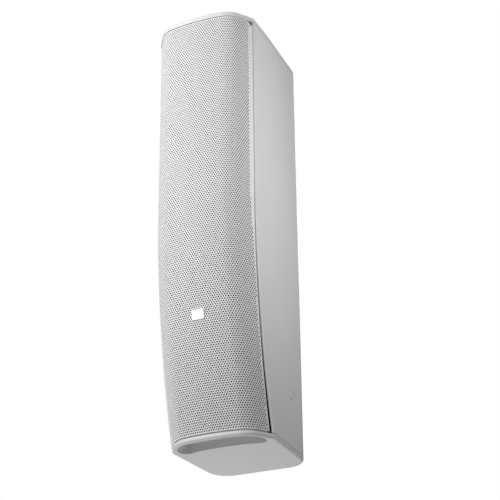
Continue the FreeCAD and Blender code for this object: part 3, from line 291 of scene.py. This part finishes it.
def grille_paint():
    """White powder coat on steel: a fine orange peel with scattered darker flecks."""
    made = Finish("powder_coat_white")
    peel = made.noise(1400, 2)
    body = made.blend(made.noise(7, 4), (0.84, 0.84, 0.837), (0.88, 0.88, 0.877))
    made.colour(made.blend(made.spread(peel, 0.0, 0.2, 0.55, 0.8), body, (0.78, 0.78, 0.777)))
    made.set("Roughness", made.spread(made.noise(160, 3), 0.46, 0.6))
    made.bump(peel, 0.00003, 0.35)
    return made


finishes = {
    "white_shell": moulded("moulded_white_shell", (0.80, 0.803, 0.798), 0.42),
    "white_caps": moulded("moulded_white_caps", (0.76, 0.76, 0.755), 0.44),
    "white_grille": grille_paint(),
    "grey_cloth": woven("acoustic_cloth", (0.13, 0.13, 0.13), 0.0011, 0.00025),
    "seam_rubber": rubber("foam_seal", (0.035, 0.035, 0.035), 0.85, 1600),
    "badge_white": moulded("gloss_badge", (0.98, 0.98, 0.98), 0.25, 2200, 0.00001, 0.005),
    "baffle_board": board("sealed_black_board", (0.035, 0.035, 0.036)),
    "brace_board": board("plain_board", (0.46, 0.33, 0.20)),
    "wadding": fluffy("polyester_wadding", (0.8, 0.8, 0.77)),
    "clip_plastic": moulded("nylon_clip", (0.05, 0.05, 0.05), 0.5),
    "basket_paint": moulded("satin_basket", (0.03, 0.03, 0.03), 0.38, 1100),
    "surround_rubber": rubber("butyl_surround", (0.022, 0.022, 0.023), 0.6),
    "cone_pulp": paper("cone_pulp", (0.04, 0.04, 0.045)),
    "spider_cloth": woven("resin_cotton", (0.5, 0.31, 0.12), 0.0008, 0.00015, 0.6, 0.75),
    "coil_copper": wound("coil_wire", (0.72, 0.36, 0.2), 0.0004),
    "plate_steel": metal("zinc_plate", (0.62, 0.63, 0.65), 0.35),
    "ferrite": board("sintered_ferrite", (0.05, 0.05, 0.055), 0.65),
    "tweeter_plastic": moulded("tweeter_moulding", (0.03, 0.03, 0.03), 0.45),
    "dome_silk": woven("doped_silk", (0.035, 0.035, 0.04), 0.0006, 0.00006, 0.7, 0.6),
    "cup_plastic": moulded("cup_moulding", (0.035, 0.035, 0.036), 0.5, 900, 0.0001, 0.1),
    "insert_brass": metal("turned_brass", (0.80, 0.58, 0.26), 0.28, (1, 0.05, 1)),
    "terminal_black": moulded("phenolic_block", (0.02, 0.02, 0.02), 0.28, 1800, 0.00002),
    "screw_steel": metal("zinc_screw", (0.64, 0.65, 0.67), 0.3, (1, 0.1, 1), 900),
    "cover_clear": moulded("smoked_cover", (0.06, 0.06, 0.065), 0.12, 2500, 0.000005),
    "knob_plastic": moulded("knob_moulding", (0.09, 0.09, 0.095), 0.42),
    "switch_plastic": moulded("switch_housing", (0.04, 0.04, 0.045), 0.35),
    "slider_white": moulded("slider_moulding", (0.82, 0.81, 0.78), 0.3),
    "board_green": circuit("solder_mask", (0.015, 0.12, 0.045)),
    "capacitor_film": moulded("film_wrap", (0.62, 0.30, 0.03), 0.25, 700),
    "resistor_ceramic": moulded("cement_block", (0.74, 0.72, 0.66), 0.8, 500, 0.0002, 0.12),
    "core_steel": stacked("core_sheets", (0.34, 0.34, 0.36), 0.0012),
    "wire_jacket": rubber("sleeved_wire", (0.04, 0.04, 0.05), 0.5),
}

for part in frame["record"]["subparts"]:
    surface = frame["nodes"][part["node"]].data.materials
    surface.clear()
    surface.append(finishes[part["material_slot"]].material)

# The bowed front --------------------------------------------------------------------------

# Millimetres, as in the enclosure's own plan: the bow seen from above is two diagonals, two
# knees and a wide arc, and its lower part swings back on a large radius.
HALF = 85.0
DEPTH = 202.4
BOW = 42.6
FRONT_RADIUS = 280.0
KNEE_RADIUS = 38.0
SLANT = math.radians(56)
CURVE_START = 37.7
WALL_CURVE = 1298.0
GRILLE_CURVE = 1212.0


def drop(height, radius=GRILLE_CURVE):
    below = max(0.0, CURVE_START - height)
    return radius - math.sqrt(radius**2 - below**2)


class Plan:
    """The front's plan line set in by a gap, measured along its length from the left tip."""

    def __init__(self, inset, advance):
        side = HALF - KNEE_RADIUS * math.sin(SLANT)
        gap = BOW - FRONT_RADIUS + KNEE_RADIUS * math.cos(SLANT)
        span = FRONT_RADIUS - KNEE_RADIUS
        toward = side * math.cos(SLANT) + gap * math.sin(SLANT)
        aside = side * math.sin(SLANT) - gap * math.cos(SLANT)
        along = toward + math.sqrt(span**2 - aside**2)
        self.tip = Vector((HALF - inset / math.sin(SLANT) - advance / math.tan(SLANT), -DEPTH - advance))
        self.knee = Vector((side - along * math.cos(SLANT), gap - along * math.sin(SLANT)))
        self.middle = Vector((0.0, -DEPTH - BOW + FRONT_RADIUS))
        self.knee_centre = self.middle + self.knee
        self.bend = KNEE_RADIUS - inset
        self.wide = FRONT_RADIUS - inset
        self.turn = math.atan2(self.knee.x, -self.knee.y)
        outward = Vector((math.sin(SLANT), -math.cos(SLANT)))
        shoulder = self.knee_centre + self.bend * outward
        self.runs = (
            (shoulder - self.tip).length,
            self.bend * (SLANT - self.turn),
            self.wide * 2 * self.turn,
            self.bend * (SLANT - self.turn),
            (shoulder - self.tip).length,
        )
        self.length = sum(self.runs)

    def at(self, along):
        """Point and outward direction at a distance from the left tip."""
        if along > self.length / 2:
            point, outward = self.at(self.length - along)
            return Vector((-point.x, point.y)), Vector((-outward.x, outward.y))
        straight, knee = self.runs[:2]
        if along < straight:
            outward = Vector((-math.sin(SLANT), -math.cos(SLANT)))
            forward = Vector((math.cos(SLANT), -math.sin(SLANT)))
            return Vector((-self.tip.x, self.tip.y)) + forward * along, outward
        if along < straight + knee:
            angle = SLANT - (along - straight) / self.bend
            centre = Vector((-self.knee_centre.x, self.knee_centre.y))
            outward = Vector((-math.sin(angle), -math.cos(angle)))
            return centre + outward * self.bend, outward
        angle = self.turn - (along - straight - knee) / self.wide
        outward = Vector((-math.sin(angle), -math.cos(angle)))
        return self.middle + outward * self.wide, outward


def on_front(plan, along, height, inward=0.0):
    """A point of the front in metres, set in from the plan line."""
    point, outward = plan.at(along)
    point = point - outward * inward
    return Vector((point.x, point.y + drop(height), height)) / 1000


def make_piece(name, points, faces, slot_name, smooth=False):
    mesh = bpy.data.meshes.new(name)
    mesh.from_pydata([tuple(point) for point in points], [], faces)
    mesh.update()
    mesh.validate()
    if smooth:
        mesh.shade_smooth()
    piece = bpy.data.objects.new(name, mesh)
    bpy.context.scene.collection.objects.link(piece)
    mesh.materials.append(finishes[slot_name].material)
    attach(piece, "root")
    return piece


def open_edges(faces):
    """The edges that only one face has, in the order that the faces give them."""
    edges = dict.fromkeys(
        (face[step], face[(step + 1) % len(face)]) for face in faces for step in range(len(face))
    )
    return [(start, end) for start, end in edges if (end, start) not in edges]


def slab_faces(across, up):
    """Faces of a slab whose two layers are grids of points, closed all round its rim."""
    stride = across + 1
    back = stride * (up + 1)
    faces = []
    for row in range(up):
        for column in range(across):
            corner = row * stride + column
            face = (corner, corner + 1, corner + stride + 1, corner + stride)
            faces.append(face)
            faces.append(tuple(point + back for point in reversed(face)))
    rim = list(range(across))
    rim += [row * stride + across for row in range(up)]
    rim += [up * stride + column for column in range(across, 0, -1)]
    rim += [row * stride for row in range(up, 0, -1)]
    for step, point in enumerate(rim):
        after = rim[(step + 1) % len(rim)]
        faces.append((after, point, point + back, after + back))
    return faces


# Grille and cloth -------------------------------------------------------------------------

# Millimetres, apart from OPENING, a hole's share of its cell, and CORNER_ROOM, how near a hole
# may come to a cut top corner, where 1 is the cut itself.
SHEET = 1.2
SHEET_INSET = 0.8
SHEET_ADVANCE = 1.5
PITCH = 3.8
OPENING = 0.62
END_MARGIN = 0.6
FOOT = -340
LOW_GAP = 2.6
CORNER_ACROSS = 11.6
CORNER_DOWN = 7.3
CORNER_ROOM = 1.25
EDGE_STEPS = 24
HAIR = 1e-6
CLOTH_INSET = 2.75
CLOTH_ADVANCE = 12.0
CLOTH_END_GAP = 0.3
CLOTH_THICKNESS = 0.6
CLOTH_SLACK = 0.15
CLOTH_RIPPLE = 0.1
RIPPLE_SIZE = 26
# Height, and the plain width beside the wall there, from the bottom to the top.
SIDE_MARGINS = ((FOOT, 0.3), (-120, 0.6), (-37, 2.0), (46, 6.0), (340, 6.5))


def side_margin(height):
    for (low, first), (high, last) in zip(SIDE_MARGINS, SIDE_MARGINS[1:]):
        if height <= high:
            return first + (last - first) * (height - low) / (high - low)
    return SIDE_MARGINS[-1][1]


def side_start(height):
    """How far along its plan the sheet starts: it swings back from the wall's nose low down."""
    gap = LOW_GAP * max(0.0, CURVE_START - height) / (CURVE_START - FOOT)
    return gap + (drop(height) - drop(height, WALL_CURVE)) / math.sin(SLANT)


def make_grille():
    """A steel sheet with staggered six-sided holes in straight rows, closed front and back."""
    plan = Plan(SHEET_INSET, SHEET_ADVANCE)
    low, high = [1000 * corner.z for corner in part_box("grille")]
    radius = PITCH / math.sqrt(3)
    columns = int(plan.length / PITCH)
    left = (plan.length - columns * PITCH) / 2
    room = high - low - 2 * (END_MARGIN + radius)
    rows = int(room / (1.5 * radius)) + 1
    row_step = room / (rows - 1)
    rise = row_step / 1.5
    bottom = low + END_MARGIN + radius
    corners = [math.radians(60 * step - 90) for step in range(6)]

    flat = []
    index = {}
    faces = []
    rims = []

    def spot(along, height):
        key = (round(along, 2), round(height, 2))
        if key not in index:
            index[key] = len(flat)
            flat.append((along, height))
        return index[key]

    def plain(along, height):
        """True where there's no room for a hole: beside the walls and in the top corners."""
        inward = min(along, plan.length - along)
        beside = side_start(height) + side_margin(height) + PITCH / 2
        corner = inward / CORNER_ACROSS + (high - height) / CORNER_DOWN
        return inward < beside or corner < CORNER_ROOM

    for row in range(rows):
        level = bottom + row * row_step
        shift = (row % 2) / 2
        for column in range(columns - row % 2):
            middle = left + (column + 0.5 + shift) * PITCH
            if plain(middle, level):
                continue
            outer = []
            inner = []
            for angle in corners:
                reach = Vector((math.cos(angle) * radius, math.sin(angle) * rise))
                outer.append(spot(middle + reach.x, level + reach.y))
                inner.append(spot(middle + reach.x * OPENING, level + reach.y * OPENING))
            for step in range(6):
                after = (step + 1) % 6
                faces.append((outer[step], outer[after], inner[after], inner[step]))
            rims.append(inner)

    # The plain border, from the cells' zigzag outline out to the sheet's edge.
    inner_points = {point for rim in rims for point in rim}
    border = {start: end for start, end in open_edges(faces) if start not in inner_points}
    first = min(border, key=lambda point: (flat[point][1], flat[point][0]))
    outline = [first]
    while border[outline[-1]] != first:
        outline.append(border[outline[-1]])

    left_edge = [(0.0, high - CORNER_DOWN)]
    for step in range(EDGE_STEPS + 1):
        level = CURVE_START + (low - CURVE_START) * step / EDGE_STEPS
        left_edge.append((side_start(level), level))
    right_edge = [(plan.length - along, level) for along, level in reversed(left_edge)]
    edge = right_edge + [(plan.length - CORNER_ACROSS, high), (CORNER_ACROSS, high)] + left_edge

    def out_to_edge(along, height):
        """Where the border reaches from a point of the outline, side or end first."""
        nearest = None
        for side, corner in enumerate(edge):
            start = Vector(corner)
            run = Vector(edge[(side + 1) % len(edge)]) - start
            share = max(0.0, min(1.0, (Vector((along, height)) - start).dot(run) / run.length_squared))
            found = start + run * share
            gap = (found - Vector((along, height))).length
            if nearest is None or gap < nearest[0]:
                nearest = (gap, side + share, found)
        return nearest[1], nearest[2]

    places = [out_to_edge(*flat[point]) for point in outline]
    count = len(outline)
    for step in range(count):
        after = (step + 1) % count
        start_at, start_point = places[step]
        end_at, end_point = places[after]
        ring = [outline[after], outline[step], spot(*start_point)]
        between = []
        ahead = (end_at - start_at) % len(edge)
        if ahead < len(edge) / 2:
            corner = math.floor(start_at) + 1
            while corner - start_at < ahead - HAIR:
                if corner - start_at > HAIR:
                    between.append(edge[corner % len(edge)])
                corner += 1
        ring += [spot(*point) for point in between]
        last = spot(*end_point)
        if last != ring[-1]:
            ring.append(last)
        if len(set(ring)) > 2:
            faces.append(tuple(ring))

    front_count = len(flat)
    points = [on_front(plan, along, height) for along, height in flat]
    points += [on_front(plan, along, height, SHEET) for along, height in flat]
    solid = list(faces)
    solid += [tuple(point + front_count for point in reversed(face)) for face in faces]
    solid += [(end, start, start + front_count, end + front_count) for start, end in open_edges(faces)]
    piece = make_piece("perforated_grille", points, solid, "white_grille")
    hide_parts("grille")
    return piece


def make_cloth():
    """Thin cloth stretched just behind the grille, hemmed flat all round."""
    plan = Plan(CLOTH_INSET, CLOTH_ADVANCE)
    low, high = [1000 * corner.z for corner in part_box("grille_cloth")]
    low += CLOTH_END_GAP
    high -= CLOTH_END_GAP
    across = 90
    up = 200
    points = []
    for layer in range(2):
        for row in range(up + 1):
            for column in range(across + 1):
                along = plan.length * column / across
                height = low + (high - low) * row / up
                ripple = noise.noise(Vector((along, height, 0)) / RIPPLE_SIZE)
                slack = ripple * CLOTH_RIPPLE + CLOTH_SLACK
                points.append(on_front(plan, along, height, slack + CLOTH_THICKNESS * layer))
    faces = slab_faces(across, up)
    piece = make_piece("grille_cloth_sheet", points, faces, "grey_cloth", smooth=True)
    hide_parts("grille_cloth")


# The lining's clearances behind and in front in metres, and its share of the CAD lining's depth.
LINING_BACK = 0.0003
LINING_FRONT = 0.0006
LINING_FILL = 0.94


def make_lining(name, low, high):
    """A crowned pad of wadding, with its corners rounded over and a soft, lumpy face."""
    middle = (low + high) / 2
    half = (high - low) / 2
    steps = 26
    points = []
    for row in range(steps + 1):
        for column in range(steps + 1):
            u = 2 * column / steps - 1
            v = 2 * row / steps - 1
            pull = 1 - 0.05 * (1 - abs(v) ** 3) * abs(u) ** 4
            crown = ((1 - abs(u) ** 4) * (1 - abs(v) ** 10)) ** 0.45
            lump = 0.88 + 0.12 * noise.noise(Vector((u * 2, v * 4, middle.z * 9)))
            points.append(
                (
                    middle.x + half.x * u * pull,
                    high.y - LINING_FRONT - 2 * half.y * crown * lump * LINING_FILL,
                    middle.z + half.z * v,
                )
            )
    points += [(x, high.y - LINING_BACK, z) for x, y, z in points]
    piece = make_piece(name, points, slab_faces(steps, steps), "wadding", smooth=True)
    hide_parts("damping_lining")


grille = make_grille()
make_cloth()

pads = sorted({round(vertex.co.z, 4) for vertex in frame["nodes"]["damping_lining"].data.vertices})
pad_low, pad_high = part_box("damping_lining")
for number in range(0, len(pads), 2):
    bottom_corner = Vector((pad_low.x, pad_low.y, pads[number]))
    top_corner = Vector((pad_high.x, pad_high.y, pads[number + 1]))
    make_lining(f"lining_pad_{number // 2 + 1}", bottom_corner, top_corner)

# Studio -----------------------------------------------------------------------------------

# Metres: the floor's height and half width, and where and how steeply its rim starts to rise.
FLOOR_LEVEL = -1.75
FLOOR_REACH = 14
RIM_START = 9
RIM_RISE = 0.35
# The world's share of white that lights the object.
AMBIENT = 0.219


def make_floor():
    """A round pale floor that runs level under the loudspeaker and is dished up at its rim."""
    rings = 40
    spokes = 96
    points = [(0.0, 0.0, FLOOR_LEVEL)]
    faces = []
    for ring in range(1, rings + 1):
        reach = FLOOR_REACH * (ring / rings) ** 1.4
        level = FLOOR_LEVEL + RIM_RISE * max(0.0, reach - RIM_START) ** 1.5
        for spoke in range(spokes):
            angle = 2 * math.pi * spoke / spokes
            points.append((reach * math.cos(angle), reach * math.sin(angle), level))
    for spoke in range(spokes):
        faces.append((0, 1 + spoke, 1 + (spoke + 1) % spokes))
    for ring in range(rings - 1):
        for spoke in range(spokes):
            a = 1 + ring * spokes + spoke
            b = 1 + ring * spokes + (spoke + 1) % spokes
            faces.append((a, a + spokes, b + spokes, b))
    mesh = bpy.data.meshes.new("studio_floor")
    mesh.from_pydata(points, [], faces)
    mesh.shade_smooth()
    floor = bpy.data.objects.new("studio_floor", mesh)
    bpy.context.scene.collection.objects.link(floor)
    pale = Finish("studio_floor", 0.8)
    pale.colour(pale.blend(pale.noise(3, 3), (0.88, 0.88, 0.88), (0.93, 0.93, 0.93)))
    mesh.materials.append(pale.material)


def add_light(name, position, target, size, power):
    """A soft oblong light that points at a target and isn't seen itself."""
    data = bpy.data.lights.new(name, "AREA")
    data.shape = "RECTANGLE"
    data.size, data.size_y = size
    data.energy = power
    lamp = bpy.data.objects.new(name, data)
    bpy.context.scene.collection.objects.link(lamp)
    lamp.location = position
    lamp.rotation_euler = (Vector(target) - Vector(position)).to_track_quat("-Z", "Y").to_euler()
    lamp.visible_camera = False


def make_world():
    """A white surround for the eye, which lights the object only softly."""
    world = bpy.data.worlds.new("studio")
    world.use_nodes = True
    bpy.context.scene.world = world
    tree = world.node_tree
    background = tree.nodes["Background"]
    path = tree.nodes.new("ShaderNodeLightPath")
    strength = tree.nodes.new("ShaderNodeMapRange")
    strength.inputs["To Min"].default_value = AMBIENT
    strength.inputs["To Max"].default_value = 1.0
    tree.links.new(path.outputs["Is Camera Ray"], strength.inputs["Value"])
    tree.links.new(strength.outputs["Result"], background.inputs["Strength"])
    background.inputs["Color"].default_value = (1, 1, 1, 1)
    bpy.context.scene.view_settings.view_transform = "Standard"


def make_camera():
    """Low and to the right, looking steeply up at the loudspeaker."""
    data = bpy.data.cameras.new("camera")
    data.sensor_width = 36
    data.lens = 102.77
    camera = bpy.data.objects.new("camera", data)
    bpy.context.scene.collection.objects.link(camera)
    yaw, pitch, roll = 0.431, 0.448, -0.010
    ahead = Vector((-math.sin(yaw) * math.cos(pitch), math.cos(yaw) * math.cos(pitch), math.sin(pitch)))
    right = Vector((math.cos(yaw), math.sin(yaw), 0))
    up = right.cross(ahead)
    tilted_right = math.cos(roll) * right + math.sin(roll) * up
    tilted_up = math.cos(roll) * up - math.sin(roll) * right
    turn = Matrix((tilted_right, tilted_up, -ahead)).transposed()
    camera.matrix_world = Matrix.Translation((0.88032, -1.95548, -0.99547)) @ turn.to_4x4()
    bpy.context.scene.camera = camera


make_floor()
add_light("left", (-0.8, -1.4, 0.2), (0, -0.1, 0), (0.8, 0.8), 13.3)
add_light("upper", (-0.4, -1.05, 0.5), (0, -0.2, 0.1), (0.6, 0.6), 4.7)
add_light("right", (0.4, -0.2, 0.12), (0.08, -0.18, 0.12), (0.25, 0.6), 0.98)
add_light("under", (-0.35, 0.3, -0.95), (0, -0.1, -0.3), (0.7, 0.7), 2.3)
add_light("rear", (-0.4, 1.2, 0.9), (0, 0, 0), (0.8, 0.8), 14)
make_world()
make_camera()
